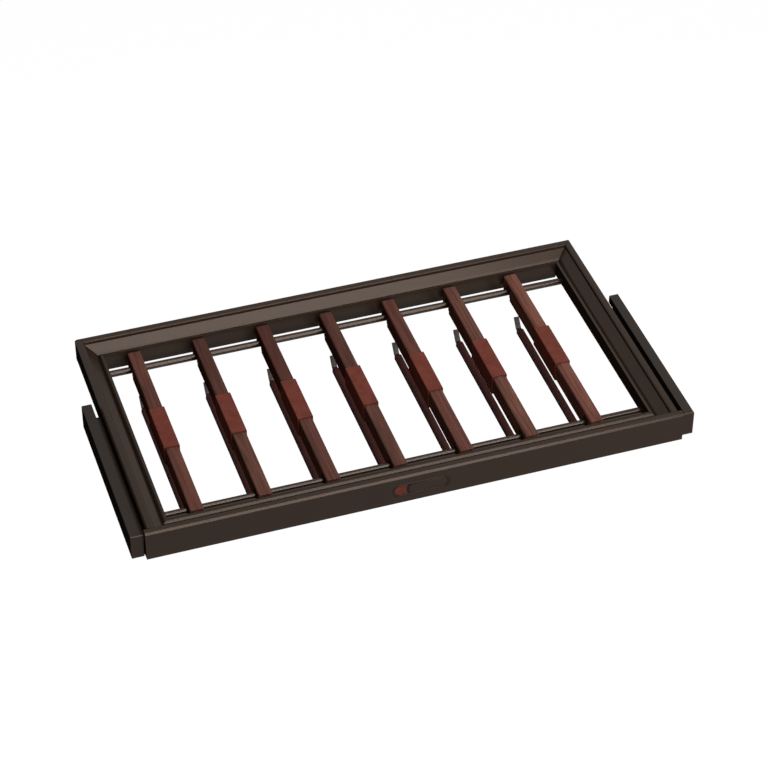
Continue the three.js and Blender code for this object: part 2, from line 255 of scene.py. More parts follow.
def drawn_rings(outline: Array, scale: Array, places: Array, middle: Vector, axis: int) -> Array:
    """Rings along an axis: the middle plus the outline times the scale of each station.

    Args:
        outline: Outline round the origin, two columns.
        scale: Factor on the outline at each station.
        places: Place of each station along the axis.
        middle: Point on the axis that the rings are centred on.
        axis: Number of the axis, 0 for X and 1 for Y.

    Returns:
        Array of shape stations by outline points by three.
    """
    first, second = (index for index in range(3) if index != axis)
    rings = np.zeros((len(places), len(outline), 3))
    rings[..., axis] = places[:, None]
    rings[..., first] = middle[first] + outline[None, :, 0] * scale[:, None]
    rings[..., second] = middle[second] + outline[None, :, 1] * scale[:, None]
    return rings


def linked(name: str, data: bpy.types.ID) -> bpy.types.Object:
    """A new object of the scene.

    Args:
        name: Name of the object.
        data: Mesh, light or camera that it shows.

    Returns:
        The object, at the origin.
    """
    made = bpy.data.objects.new(name, data)
    bpy.context.scene.collection.objects.link(made)
    return made


def smooth_below(mesh: bpy.types.Mesh, angle: float) -> None:
    """Shades faces as one surface where they meet under an angle in degrees."""
    mesh.shade_smooth()
    mesh.set_sharp_from_angle(angle=radians(angle))


def make_piece(name: str, verts: Array, faces: Faces, smooth: float = 40.0) -> Piece:
    """A piece at the origin from arrays of points and faces.

    Args:
        name: Name of the piece.
        verts: Points in any shape that ends with three.
        faces: Index list of each face.
        smooth: Angle in degrees under which faces shade as one surface.

    Returns:
        The piece.
    """
    mesh = bpy.data.meshes.new(name)
    mesh.from_pydata(np.asarray(verts, float).reshape(-1, 3).tolist(), [], faces)
    mesh.validate()
    smooth_below(mesh, smooth)
    return linked(name, mesh)


def flat_shading(piece: Piece, weight: int = 90) -> None:
    """Lets large faces shade flat and keeps the roundings between them soft.

    Args:
        piece: Piece to shade.
        weight: Pull of the larger faces, where 50 is neutral.
    """
    modifier = piece.modifiers.new("weighted_normals", "WEIGHTED_NORMAL")
    modifier.mode = "FACE_AREA"
    modifier.weight = weight
    modifier.keep_sharp = True


def chamfer_edges(edit: bmesh.types.BMesh, edges: list[bmesh.types.BMEdge], width: float) -> None:
    """Cuts one flat chamfer along edges of a mesh in edit."""
    bmesh.ops.bevel(
        edit, geom=edges, offset=width, offset_type="OFFSET", segments=1, affect="EDGES",
    )


def bevel(piece: Piece, width: float, segments: int = 2, angle: float = 25.0) -> None:
    """Rounds the piece's sharp edges with a live bevel.

    Args:
        piece: Object to round.
        width: Width of the rounding.
        segments: Steps across it.
        angle: Least angle in degrees of an edge that is rounded.
    """
    modifier = piece.modifiers.new("edge_rounding", "BEVEL")
    modifier.width = width
    modifier.segments = segments
    modifier.limit_method = "ANGLE"
    modifier.angle_limit = radians(angle)
    modifier.miter_outer = "MITER_ARC"


def rounded_node(node: str, width: float, smooth: float = 30.0) -> Piece:
    """A merged copy of a node with its coplanar facets joined and its edges rounded.

    Args:
        node: Name of the node that the copy stands for.
        width: Width of the edge rounding.
        smooth: Angle in degrees under which faces shade as one surface.

    Returns:
        The new piece, riding on the node's body.
    """
    source = frame["nodes"][node]
    name = f"{node}_finish"
    mesh = source.data.copy()
    mesh.name = name
    mesh.materials.clear()
    piece = linked(name, mesh)
    edit = bmesh.new()
    edit.from_mesh(mesh)
    bmesh.ops.remove_doubles(edit, verts=edit.verts, dist=MERGE_DISTANCE)
    bmesh.ops.dissolve_limit(
        edit, angle_limit=COPLANAR_ANGLE, use_dissolve_boundaries=False,
        verts=edit.verts, edges=edit.edges,
    )
    edit.to_mesh(mesh)
    edit.free()
    smooth_below(mesh, smooth)
    bevel(piece, width)
    flat_shading(piece)
    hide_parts(node)
    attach(piece, source["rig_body"])
    return piece


# Finishes


class Graph:
    """A material's node tree, with short calls for the nodes that the finishes share."""

    # Sockets of the mix node: its factor and two colours, and its colour result
    MIX_INPUTS = (0, 6, 7)
    MIX_RESULT = 2

    def __init__(self, name: str) -> None:
        """Makes the material with a principled shader.

        Args:
            name: Name of the material.
        """
        self.material = bpy.data.materials.new(name)
        self.material.use_nodes = True
        self.tree = self.material.node_tree
        self.shader = self.tree.nodes["Principled BSDF"]

    def node(self, kind: str, **values: object) -> bpy.types.Node:
        """A new node with the given properties.

        Args:
            kind: Node type without its ShaderNode prefix.
            **values: Properties to set on it.

        Returns:
            The node.
        """
        made = self.tree.nodes.new(f"ShaderNode{kind}")
        for key, value in values.items():
            setattr(made, key, value)
        return made

    def link(self, source: Socket, target: Socket) -> None:
        """Joins two sockets."""
        self.tree.links.new(source, target)

    def coordinates(self, scale: Point = (1, 1, 1), shift: Point = (0, 0, 0)) -> Socket:
        """Object coordinates, stretched and shifted.

        Args:
            scale: Factor along each axis.
            shift: Offset that gives a piece its own part of the pattern.

        Returns:
            The vector socket.
        """
        place = self.node("TexCoord")
        mapping = self.node("Mapping")
        mapping.inputs["Scale"].default_value = scale
        mapping.inputs["Location"].default_value = shift
        self.link(place.outputs["Object"], mapping.inputs["Vector"])
        return mapping.outputs["Vector"]

    def noise(self, where: Socket, scale: float, detail: float = 3,
              rough: float = 0.5) -> Socket:
        """Noise at a place.

        Args:
            where: Vector socket.
            scale: Cells per metre.
            detail: Octaves.
            rough: Strength of the finer octaves.

        Returns:
            The factor socket.
        """
        made = self.node("TexNoise")
        made.inputs["Scale"].default_value = scale
        made.inputs["Detail"].default_value = detail
        made.inputs["Roughness"].default_value = rough
        self.link(where, made.inputs["Vector"])
        return made.outputs["Fac"]

    def ramp(self, factor: Socket, stops: list[tuple[float, Colour]]) -> Socket:
        """Colours along a factor.

        Args:
            factor: Socket from 0 to 1.
            stops: Place and colour of each stop.

        Returns:
            The colour socket.
        """
        made = self.node("ValToRGB")
        elements = made.color_ramp.elements
        while len(elements) < len(stops):
            elements.new(0.5)
        for element, (place, colour) in zip(elements, stops):
            element.position = place
            element.color = (*colour, 1)
        self.link(factor, made.inputs["Fac"])
        return made.outputs["Color"]

    def span(self, value: Socket, low: float, high: float,
             from_low: float = 0.0, from_high: float = 1.0) -> Socket:
        """A factor stretched to a range.

        Args:
            value: Socket to stretch.
            low: Result at from_low.
            high: Result at from_high.
            from_low: Value that gives low.
            from_high: Value that gives high.

        Returns:
            The result socket.
        """
        made = self.node("MapRange")
        limits = {"From Min": from_low, "From Max": from_high, "To Min": low, "To Max": high}
        for key, number in limits.items():
            made.inputs[key].default_value = number
        self.link(value, made.inputs["Value"])
        return made.outputs["Result"]

    def math(self, operation: str, first: Socket,
             second: Socket | float = 0.0) -> Socket:
        """Arithmetic on one or two values.

        Args:
            operation: Name of the operation.
            first: First value.
            second: Second value, a socket or a number.

        Returns:
            The result socket.
        """
        made = self.node("Math", operation=operation)
        self.link(first, made.inputs[0])
        if isinstance(second, (int, float)):
            made.inputs[1].default_value = second
        else:
            self.link(second, made.inputs[1])
        return made.outputs[0]

    def mix(self, factor: Socket | float, first: Socket | Colour,
            second: Socket | Colour, blend: str = "MIX") -> Socket:
        """Blend of two colours.

        Args:
            factor: Share of the second, a socket or a number.
            first: First colour or socket.
            second: Second colour or socket.
            blend: Name of the blend.

        Returns:
            The colour socket.
        """
        made = self.node("Mix", data_type="RGBA", blend_type=blend)
        for index, value in zip(self.MIX_INPUTS, (factor, first, second)):
            socket = made.inputs[index]
            if isinstance(value, Socket):
                self.link(value, socket)
            elif isinstance(value, (int, float)):
                socket.default_value = value
            else:
                socket.default_value = (*value, 1)
        return made.outputs[self.MIX_RESULT]

    def clouded(self, clouds: Socket, tone: Colour, darkest: float, lightest: float,
                start: float = 0.3, end: float = 0.7) -> Socket:
        """A tone that runs from a darker shade of itself to a lighter one with a noise.

        Args:
            clouds: Noise socket.
            tone: The tone.
            darkest: Factor on the tone where the noise is low.
            lightest: Factor on the tone where the noise is high.
            start: Noise up to which the darkest shade holds.
            end: Noise from which the lightest shade holds.

        Returns:
            The colour socket.
        """
        return self.ramp(clouds, [(start, shade(tone, darkest)), (end, shade(tone, lightest))])

    def bump(self, layers: list[tuple[Socket, float, float]]) -> None:
        """Relief from several heights, one bump on another.

        Args:
            layers: Height socket, strength and depth in metres of each layer.
        """
        before = None
        for height, strength, distance in layers:
            made = self.node("Bump")
            made.inputs["Strength"].default_value = strength
            made.inputs["Distance"].default_value = distance
            self.link(height, made.inputs["Height"])
            if before is not None:
                self.link(before, made.inputs["Normal"])
            before = made.outputs["Normal"]
        self.link(before, self.shader.inputs["Normal"])

    def set(self, **values: float | Colour) -> None:
        """Sets uniform values on the shader's own sockets, with spaces written as underscores.

        Args:
            **values: Socket names and their values.
        """
        for key, value in values.items():
            socket = self.shader.inputs[key.replace("_", " ")]
            socket.default_value = (*value, 1) if isinstance(value, tuple) else value

    def colour(self, socket: Socket) -> None:
        """Feeds the base colour."""
        self.link(socket, self.shader.inputs["Base Color"])

    def roughness(self, socket: Socket) -> None:
        """Feeds the roughness."""
        self.link(socket, self.shader.inputs["Roughness"])

    def gloss(self, level: float, tint: Colour = (1.0, 1.0, 1.0), fade_from: float = 0.4,
              fade_to: float = 0.64) -> None:
        """Specular level that fades at low angles, where a rough surface shades its own sheen.

        Args:
            level: Level where the surface faces the viewer.
            tint: Colour of the reflection.
            fade_from: Turn away from the viewer, from 0 to 1, at which the level starts to fade.
            fade_to: Turn away from the viewer at which it has gone.
        """
        weight = self.node("LayerWeight")
        weight.inputs["Blend"].default_value = 0.5
        fading = self.span(weight.outputs["Facing"], level, 0.0, fade_from, fade_to)
        self.link(fading, self.shader.inputs["Specular IOR Level"])
        self.set(Specular_Tint=tint)


@dataclass(frozen=True)
class SatinBronze:
    """Satin dark bronze on an aluminium extrusion: faint lines along its length, soft clouding."""

    name: str
    tone: Colour
    grain: Point
    clouding: float = 0.05
    cloud_scale: float = 9.0
    line_scale: float = 1400.0
    line_dark: float = 0.98
    line_light: float = 1.01
    relief: float = 0.02
    depth: float = 0.005 * MM
    rough: float = 0.23
    polish: float = 0.02
    wear: float = 0.03
    sheen: float = 0.155
    tint: Colour = (1.0, 0.82, 0.7)

    def material(self) -> Material:
        """Builds the finish.

        Returns:
            The material.
        """
        graph = Graph(self.name)
        clouds = graph.noise(graph.coordinates(), self.cloud_scale, 4)
        lines = graph.noise(graph.coordinates(self.grain), self.line_scale, 2)
        base = graph.clouded(clouds, self.tone, 1 - self.clouding, 1 + self.clouding)
        white = (1.0, 1.0, 1.0)
        streaks = graph.clouded(lines, white, self.line_dark, self.line_light, 0.25, 0.75)
        graph.colour(graph.mix(1.0, base, streaks, "MULTIPLY"))
        graph.roughness(graph.span(lines, self.rough - self.polish, self.rough + self.wear))
        graph.bump([(lines, self.relief, self.depth)])
        graph.gloss(self.sheen, self.tint)
        return graph.material


@dataclass(frozen=True)
class PowderCoat:
    """Dark powder coat on sheet steel, with its fine orange peel."""

    name: str
    tone: Colour
    darkest: float = 0.9
    lightest: float = 1.08
    cloud_scale: float = 14.0
    peel_scale: float = 900.0
    relief: float = 0.1
    depth: float = 0.02 * MM
    rough: float = 0.48
    polish: float = 0.05
    wear: float = 0.07
    sheen: float = 0.13
    tint: Colour = (1.0, 0.86, 0.76)

    def material(self) -> Material:
        """Builds the finish.

        Returns:
            The material.
        """
        graph = Graph(self.name)
        where = graph.coordinates()
        peel = graph.noise(where, self.peel_scale, 2)
        clouds = graph.noise(where, self.cloud_scale, 3)
        graph.colour(graph.clouded(clouds, self.tone, self.darkest, self.lightest))
        graph.roughness(graph.span(peel, self.rough - self.polish, self.rough + self.wear))
        graph.bump([(peel, self.relief, self.depth)])
        graph.gloss(self.sheen, self.tint)
        return graph.material


@dataclass(frozen=True)
class DrawnSteel:
    """Bare or blackened steel with drawing lines along one axis."""

    name: str
    tone: Colour
    grain: Point
    darkest: float = 0.82
    lightest: float = 1.12
    stain_scale: float = 40.0
    line_scale: float = 2200.0
    relief: float = 0.1
    depth: float = 0.02 * MM
    rough: float = 0.3
    wear: float = 0.07
    metallic: float = 1.0
    sheen: float = 0.5
    tint: Colour = (1.0, 1.0, 1.0)

    def material(self) -> Material:
        """Builds the finish.

        Returns:
            The material.
        """
        graph = Graph(self.name)
        lines = graph.noise(graph.coordinates(self.grain), self.line_scale, 3)
        stains = graph.noise(graph.coordinates(), self.stain_scale, 4)
        graph.colour(graph.clouded(stains, self.tone, self.darkest, self.lightest))
        graph.roughness(graph.span(lines, self.rough - self.wear, self.rough + self.wear))
        graph.bump([(lines, self.relief, self.depth)])
        graph.set(Metallic=self.metallic)
        graph.gloss(self.sheen, self.tint)
        return graph.material


@dataclass(frozen=True)
class Walnut:
    """Oiled reddish walnut: growth figure along Y, painted shade to the rear, pores, a soft sheen.
    """

    name: str
    shift: Point
    warmth: float
    # Board tone, lightened on the right-hand bars by a painted sheen
    lightness_and_sheen: float
    # Share of a painted shade that darkens the rear of the bar, then its tone and span
    rear_shade_share: float
    rear_shade_tone: Colour = (0.66, 0.5, 0.46)
    rear_shade_from: float = -60 * MM
    rear_shade_to: float = 90 * MM
    dark: Colour = srgb(71, 42, 34)
    middle: Colour = srgb(90, 56, 46)
    light: Colour = srgb(111, 72, 59)
    warm_tone: Colour = (1.05, 0.82, 0.78)
    pore_tone: Colour = (0.62, 0.56, 0.54)
    figure_scale: float = 55.0
    figure_stretch: float = 0.045
    bands: float = 7.0
    band_depth: float = 0.1 * MM
    wide_scale: float = 18.0
    wide_stretch: float = 0.12
    pore_scale: float = 2600.0
    pore_stretch: float = 0.03
    pore_depth: float = 0.04 * MM
    pore_rough: float = 0.5
    oiled_rough: float = 0.34
    sheen: float = 0.13
    tint: Colour = (1.0, 0.86, 0.78)

    def material(self) -> Material:
        """Builds the finish.

        Noise stretched along the grain and folded into bands gives the figure. A wider noise
        evens it out in places, the pores darken it, and a painted shade lies over the rear.

        Returns:
            The material.
        """
        graph = Graph(self.name)
        figure = graph.noise(self.along(graph, self.figure_stretch), self.figure_scale, 3, 0.45)
        bands = graph.math("FRACT", graph.math("MULTIPLY", figure, self.bands))
        soft = graph.math("PINGPONG", bands, 0.5)
        wide = graph.noise(self.along(graph, self.wide_stretch), self.wide_scale, 2)
        pores = graph.noise(self.along(graph, self.pore_stretch), self.pore_scale, 3, 0.6)
        hue = graph.ramp(graph.span(soft, 0, 1, 0, 0.5), [
            (0.0, self.dark), (0.35, self.middle), (1.0, self.light),
        ])
        toned = graph.mix(graph.span(wide, 0.15, 0.6, 0.3, 0.7), hue, self.middle)
        pore_tone = graph.ramp(pores, [(0.32, self.pore_tone), (0.5, (1, 1, 1))])
        # Board tone together with the painted sheen of the right-hand bars
        level = self.lightness_and_sheen
        red = graph.mix(self.warmth, (level,) * 3, shade(self.warm_tone, level))
        timber = graph.mix(1.0, graph.mix(1.0, toned, pore_tone, "MULTIPLY"), red, "MULTIPLY")
        # Multiplies in the painted shade over the rear of the bar
        graph.colour(graph.mix(1.0, timber, self.rear_shade(graph), "MULTIPLY"))
        graph.roughness(graph.span(pores, self.pore_rough, self.oiled_rough, 0.3, 0.6))
        graph.bump([(pores, 0.15, self.pore_depth), (soft, 0.05, self.band_depth)])
        graph.gloss(self.sheen, self.tint)
        return graph.material

    def along(self, graph: Graph, stretch: float) -> Socket:
        """Coordinates drawn out along the grain and shifted to the board's own figure."""
        return graph.coordinates((1, stretch, 1), self.shift)

    def rear_shade(self, graph: Graph) -> Socket:
        """Painted shade over the rear of the bar, whose share grows with Y across its span.

        Args:
            graph: Node tree of the finish.

        Returns:
            The colour socket.
        """
        place = graph.node("SeparateXYZ")
        graph.link(graph.coordinates(), place.inputs[0])
        share = graph.span(place.outputs["Y"], 0, self.rear_shade_share, self.rear_shade_from, self.rear_shade_to)
        return graph.mix(share, (1.0, 1.0, 1.0), self.rear_shade_tone)


@dataclass(frozen=True)
class SaddleLeather:
    """Smooth dyed leather: fine grain cells, pull-up clouding, a faint sheen."""

    name: str
    tone: Colour = srgb(100, 51, 42)
    darkest: float = 0.8
    lightest: float = 1.14
    cloud_scale: float = 60.0
    cloud_depth: float = 0.2 * MM
    cell_scale: float = 1500.0
    crease_width: float = 0.18
    crease_tone: Colour = (0.8, 0.78, 0.76)
    crease_depth: float = 0.05 * MM
    dull: float = 0.62
    rubbed: float = 0.5
    sheen: float = 0.08
    tint: Colour = (1.0, 0.8, 0.7)

    def material(self) -> Material:
        """Builds the finish.

        Returns:
            The material.
        """
        graph = Graph(self.name)
        where = graph.coordinates()
        cells = graph.node("TexVoronoi", feature="DISTANCE_TO_EDGE")
        cells.inputs["Scale"].default_value = self.cell_scale
        graph.link(where, cells.inputs["Vector"])
        creases = graph.span(cells.outputs["Distance"], 0, 1, 0, self.crease_width)
        clouds = graph.noise(where, self.cloud_scale, 5, 0.6)
        base = graph.clouded(clouds, self.tone, self.darkest, self.lightest, end=0.72)
        valley = graph.ramp(creases, [(0.0, self.crease_tone), (0.6, (1, 1, 1))])
        graph.colour(graph.mix(1.0, base, valley, "MULTIPLY"))
        graph.roughness(graph.span(clouds, self.dull, self.rubbed))
        graph.bump([(creases, 0.35, self.crease_depth), (clouds, 0.08, self.cloud_depth)])
        graph.gloss(self.sheen, self.tint)
        return graph.material


@dataclass(frozen=True)
class SoftMatt:
    """Matt moulded plastic or rubber with a fine stipple."""

    name: str
    tone: Colour
    darkest: float = 0.85
    lightest: float = 1.12
    cloud_scale: float = 30.0
    stipple_scale: float = 1800.0
    relief: float = 0.3
    depth: float = 0.03 * MM
    rough: float = 0.6
    polish: float = 0.06
    wear: float = 0.08
    sheen: float = 0.08

    def material(self) -> Material:
        """Builds the finish.

        Returns:
            The material.
        """
        graph = Graph(self.name)
        where = graph.coordinates()
        dots = graph.noise(where, self.stipple_scale, 2)
        clouds = graph.noise(where, self.cloud_scale, 3)
        graph.colour(graph.clouded(clouds, self.tone, self.darkest, self.lightest))
        graph.roughness(graph.span(dots, self.rough - self.polish, self.rough + self.wear))
        graph.bump([(dots, self.relief, self.depth)])
        graph.gloss(self.sheen)
        return graph.material


@dataclass
class Palette:
    """All finishes of the rack, made once."""

    across: Material = field(init=False)
    along: Material = field(init=False)
    slide: Material = field(init=False)
    zinc: Material = field(init=False)
    rod: Material = field(init=False)
    strip: Material = field(init=False)
    leather: Material = field(init=False)
    cut_edge: Material = field(init=False)
    grip: Material = field(init=False)
    glide: Material = field(init=False)
    casting: Material = field(init=False)

    def __post_init__(self) -> None:
        """Builds every shared finish."""
        along_x, along_y = (0.02, 1, 1), (1, 0.02, 1)
        bronze = srgb(43, 32, 25)
        self.across = SatinBronze("bronze_across", bronze, along_x).material()
        self.along = SatinBronze("bronze_along", bronze, along_y).material()
        self.slide = PowderCoat("slide_coat", srgb(38, 33, 29)).material()
        self.zinc = DrawnSteel("dark_zinc", srgb(70, 64, 58), along_y, rough=0.38).material()
        self.rod = DrawnSteel(
            "rod_bronze", srgb(34, 23, 17), (0.01, 1, 1), line_scale=600, relief=0.0,
            rough=0.11, wear=0.01, metallic=0.0, sheen=0.36, tint=(1.0, 0.8, 0.68),
        ).material()
        self.strip = DrawnSteel(
            "strip_steel", srgb(54, 50, 48), along_y, relief=0.01, rough=0.34, wear=0.03,
        ).material()
        self.leather = SaddleLeather("saddle_leather").material()
        self.cut_edge = SoftMatt("leather_cut_edge", srgb(82, 39, 31), rough=0.7).material()
        self.grip = SoftMatt(
            "grip_red_brown", srgb(76, 42, 38), stipple_scale=1200, depth=0.008 * MM, rough=0.5,
        ).material()
        self.glide = SoftMatt("glide_plastic", srgb(26, 23, 21), rough=0.45).material()
        self.casting = DrawnSteel(
            "key_casting", srgb(150, 150, 148), (1, 1, 1), line_scale=700, rough=0.55,
        ).material()


def dress(piece: Piece, material: Material) -> Piece:
    """Gives a piece its finish and logs it.

    Args:
        piece: Object to dress.
        material: Finish, in the first slot.

    Returns:
        The piece.
    """
    piece.data.materials.clear()
    piece.data.materials.append(material)
    LOG.info("%s: %s", piece.name, material.name)
    return piece


def face_depths(piece: Piece) -> Array:
    """Y of the middle of each face.

    Args:
        piece: Piece to measure.

    Returns:
        One number for each face.
    """
    faces = piece.data.polygons
    middles = np.zeros(len(faces) * 3)
    faces.foreach_get("center", middles)
    return middles.reshape(-1, 3)[:, 1]


def second_finish(piece: Piece, material: Material, chosen: Array) -> None:
    """Gives the chosen faces of a dressed piece a second finish."""
    piece.data.materials.append(material)
    piece.data.polygons.foreach_set("material_index", chosen.astype(np.int32))


# Sub-assemblies


@dataclass
class MouldedFrame:
    """The mitred frame with its corner keys and rods."""

    edge: float = 0.25 * MM
    key_edge: float = 0.35 * MM
    smooth: float = 30.0
    reach: float = 0.3 * MM
    least_length: float = 100.0 * MM
    lip_place: float = 29.7 * MM
    lip_drop: float = 14.4 * MM
    lip_chamfer: float = 2.4 * MM
    lip_width: float = 6.3 * MM
    lip_raise: float = 0.6 * MM
    lip_bead: float = 0.5 * MM
    slope_end: float = 25.1 * MM
    slope_drop: float = 0.2 * MM
    rod_sides: int = 48
    rod_chamfer: float = 0.8 * MM
    front: float = field(init=False)
    rear: float = field(init=False)
    left: float = field(init=False)
    right: float = field(init=False)
    lip_top: float = field(init=False)

    def __post_init__(self) -> None:
        """Reads the moulding's outer edges and the height of its lip from the profiles' boxes."""
        low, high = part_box("front_fascia")
        _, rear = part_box("rear_profile")
        left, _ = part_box("left_profile")
        _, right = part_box("right_profile")
        self.front, self.rear = low.y, rear.y
        self.left, self.right = left.x, right.x
        self.lip_top = high.z - self.lip_drop

    def build(self, palette: Palette) -> None:
        """Makes and dresses all of the frame's pieces.

        Args:
            palette: Finishes.
        """
        for node, material in (
            ("front_fascia", palette.across),
            ("rear_profile", palette.across),
            ("left_profile", palette.along),
            ("right_profile", palette.along),
        ):
            profile = rounded_node(node, self.edge)
            self.shape_lip(profile)
            self.crease_slope(profile)
            dress(profile, material)
        for end in ("front", "rear"):
            for side in Side:
                key = rounded_node(f"{end}_{side.value}_corner_key", self.key_edge)
                dress(key, palette.casting)
            self.rod(f"{end}_rod", palette)

    def on_line(self, vert: bmesh.types.BMVert, place: float, height: float) -> bool:
        """Whether a point lies on a line that runs round the moulding.

        Args:
            vert: Point of a profile.
            place: Distance of the line from the moulding's outer edge.
            height: Height of the line.

        Returns:
            True where the point is within reach of the line.
        """
        inwards = min(
            vert.co.y - self.front, self.rear - vert.co.y,
            vert.co.x - self.left, self.right - vert.co.x,
        )
        return abs(inwards - place) < self.reach and abs(vert.co.z - height) < self.reach

    def shape_lip(self, profile: Piece) -> None:
        """Chamfers the long outer edge of the moulding's inner lip and raises its inner edge.

        Args:
            profile: One of the four profiles, before its edge rounding.
        """
        mesh = profile.data
        edit = bmesh.new()
        edit.from_mesh(mesh)
        for vert in edit.verts:
            if self.on_line(vert, self.lip_place + self.lip_width, self.lip_top + self.lip_raise):
                vert.co.z += self.lip_bead
        edges = [
            edge for edge in edit.edges
            if edge.calc_length() > self.least_length
            and all(self.on_line(vert, self.lip_place, self.lip_top) for vert in edge.verts)
        ]
        LOG.info("%s: %d lip edges chamfered", profile.name, len(edges))
        chamfer_edges(edit, edges, self.lip_chamfer)
        edit.to_mesh(mesh)
        edit.free()
        smooth_below(mesh, self.smooth)

    def crease_slope(self, profile: Piece) -> None:
        """Keeps the moulding sharp where its slope meets its valley.

        Args:
            profile: One of the four profiles.
        """
        height = self.lip_top - self.slope_drop
        edit = bmesh.new()
        edit.from_mesh(profile.data)
        for edge in edit.edges:
            if all(self.on_line(vert, self.slope_end, height) for vert in edge.verts):
                edge.smooth = False
        edit.to_mesh(profile.data)
        edit.free()

    def rod(self, node: str, palette: Palette) -> None:
        """Replaces a faceted rod by a rounder one: a circle carried along X, drawn in at its ends.

        Args:
            node: Name of the rod's node.
            palette: Finishes.
        """
        low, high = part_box(node)
        radius = (high.z - low.z) / 2
        chamfer = self.rod_chamfer
        circle = arc((0, 0), 1.0, 0, 2 * pi, self.rod_sides)[:-1]
        places = np.array([low.x, low.x + chamfer, high.x - chamfer, high.x])
        radii = np.array([radius - chamfer, radius, radius, radius - chamfer])
        rings = drawn_rings(circle, radii, places, (low + high) / 2, 0)
        piece = make_piece(f"{node}_finish", rings, tube_faces(len(places), self.rod_sides))
        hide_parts(node)
        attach(piece, "frame")
        dress(piece, palette.rod)


@dataclass
class Badge:
    """Bare badge let into the fascia: a rim, and in it a plate and a leather inlay.

    The plate's left end is round and the inlay's right end is hollow. Behind all three lies a
    thin dark sheet of painted shade that shows in the gaps between them.
    """

    rim: float = 2.8 * MM
    gap: float = 1.0 * MM
    edge_gap: float = 0.3 * MM
    seam: float = 24.7 * MM
    bow: float = 9.3 * MM
    inlay_start: float = 3.6 * MM
    inlay_end: float = 21.4 * MM
    inlay_bow: float = 22.0 * MM
    inlay_depth: float = 0.65 * MM
    # Thin dark back sheet: painted shade that shows in the gaps
    shade_sheet: float = 0.12 * MM
    shade_sheet_inset: float = 0.2 * MM
    chamfer: float = 0.3 * MM
    smooth: float = 30.0
    reach: float = 0.01 * MM
    steps: int = 16
    front: float = field(init=False)
    back: float = field(init=False)
    left: float = field(init=False)
    right: float = field(init=False)
    middle: float = field(init=False)
    radius: float = field(init=False)
    shade_sheet_front: float = field(init=False)

    def __post_init__(self) -> None:
        """Reads the badge's place from the boxes of its two nodes."""
        low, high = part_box("badge_plate")
        inlay_low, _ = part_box("badge_leather")
        self.front, self.back = low.y, high.y
        self.radius = (high.z - low.z) / 2
        self.right = high.x - self.radius
        self.left = inlay_low.x + self.radius
        self.middle = (low.z + high.z) / 2
        self.shade_sheet_front = self.back - self.shade_sheet

    def build(self, palette: Palette) -> None:
        """Makes and dresses the badge.

        Args:
            palette: Finishes.
        """
        plate = self.joined("badge_plate_finish", [
            self.rim_ring(),
            self.slab(self.plate_outline, self.front, self.shade_sheet_front),
            self.slab(self.capsule, self.shade_sheet_front, self.back, self.shade_sheet_inset),
        ])
        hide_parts("badge_plate")
        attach(plate, "frame")
        dress(plate, palette.across)
        # The back sheet takes the dark glide plastic as painted shade in the gaps
        second_finish(plate, palette.glide, face_depths(plate) > self.shade_sheet_front - self.reach)
        inlay = self.joined("badge_leather_finish", [
            self.slab(self.inlay_outline, self.front + self.inlay_depth, self.shade_sheet_front),
        ])
        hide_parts("badge_leather")
        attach(inlay, "frame")
        dress(inlay, palette.leather)

    def capsule(self, inset: float) -> Array:
        """Outline of the whole badge: two half circles.

        Args:
            inset: Distance by which the outline is drawn in.

        Returns:
            Counter-clockwise outline, two columns.
        """
        radius = self.radius - inset
        return np.vstack([
            arc((self.right, self.middle), radius, -pi / 2, pi, self.steps),
            arc((self.left, self.middle), radius, pi / 2, pi, self.steps),
        ])

    def plate_outline(self, inset: float) -> Array:
        """Outline of the bare plate: a half circle on the right, a flatter arc on the left.

        Args:
            inset: Distance by which the outline is drawn in.

        Returns:
            Counter-clockwise outline, two columns.
        """
        radius = self.radius - self.rim - self.gap - inset
        bow = self.bow - inset
        centre = self.left - self.radius + self.seam + self.bow
        lean = np.arcsin(radius / bow)
        return np.vstack([
            arc((self.right, self.middle), radius, -pi / 2, pi, self.steps),
            arc((centre, self.middle), bow, pi - lean, 2 * lean, self.steps),
        ])

    def inlay_outline(self, inset: float) -> Array:
        """Outline of the leather: a half circle on the left, a hollow arc on the right.

        Args:
            inset: Distance by which the outline is drawn in.

        Returns:
            Counter-clockwise outline, two columns.
        """
        radius = self.radius - self.inlay_start - inset
        bow = self.inlay_bow + inset
        centre = self.left - self.radius + self.inlay_end + self.inlay_bow
        lean = np.arcsin(radius / bow)
        return np.vstack([
            arc((centre, self.middle), bow, pi + lean, -2 * lean, self.steps),
            arc((self.left, self.middle), radius, pi / 2, pi, self.steps),
        ])

    def slab(self, outline: Callable[[float], Array], front: float, back: float,
             inset: float = 0.0) -> Shell:
        """A closed plate with a chamfered front edge between two Y places.

        Args:
            outline: Function that gives the outline drawn in by some amount.
            front: Y of the front face.
            back: Y of the back face.
            inset: Amount by which the whole plate is drawn in.

        Returns:
            Points and faces.
        """
        chamfer = min(self.chamfer, (back - front) / 2)
        rings = [(back, inset), (front + chamfer, inset), (front, inset + chamfer)]
        points = np.array([at_depth(outline(drawn), y) for y, drawn in rings])
        return points.reshape(-1, 3), tube_faces(len(rings), points.shape[1])

    def rim_ring(self) -> Shell:
        """The rim: a capsule ring with chamfered front edges, closed on itself as a torus is.

        Returns:
            Points and faces.
        """
        chamfer, front, back = self.chamfer, self.front, self.shade_sheet_front
        outer, inner = self.edge_gap, self.rim
        rings = [
            (back, outer), (front + chamfer, outer), (front, outer + chamfer),
            (front, inner - chamfer), (front + chamfer, inner), (back, inner),
        ]
        points = np.array([at_depth(self.capsule(drawn), y) for y, drawn in rings])
        return points.reshape(-1, 3), closed_faces(len(rings), points.shape[1])

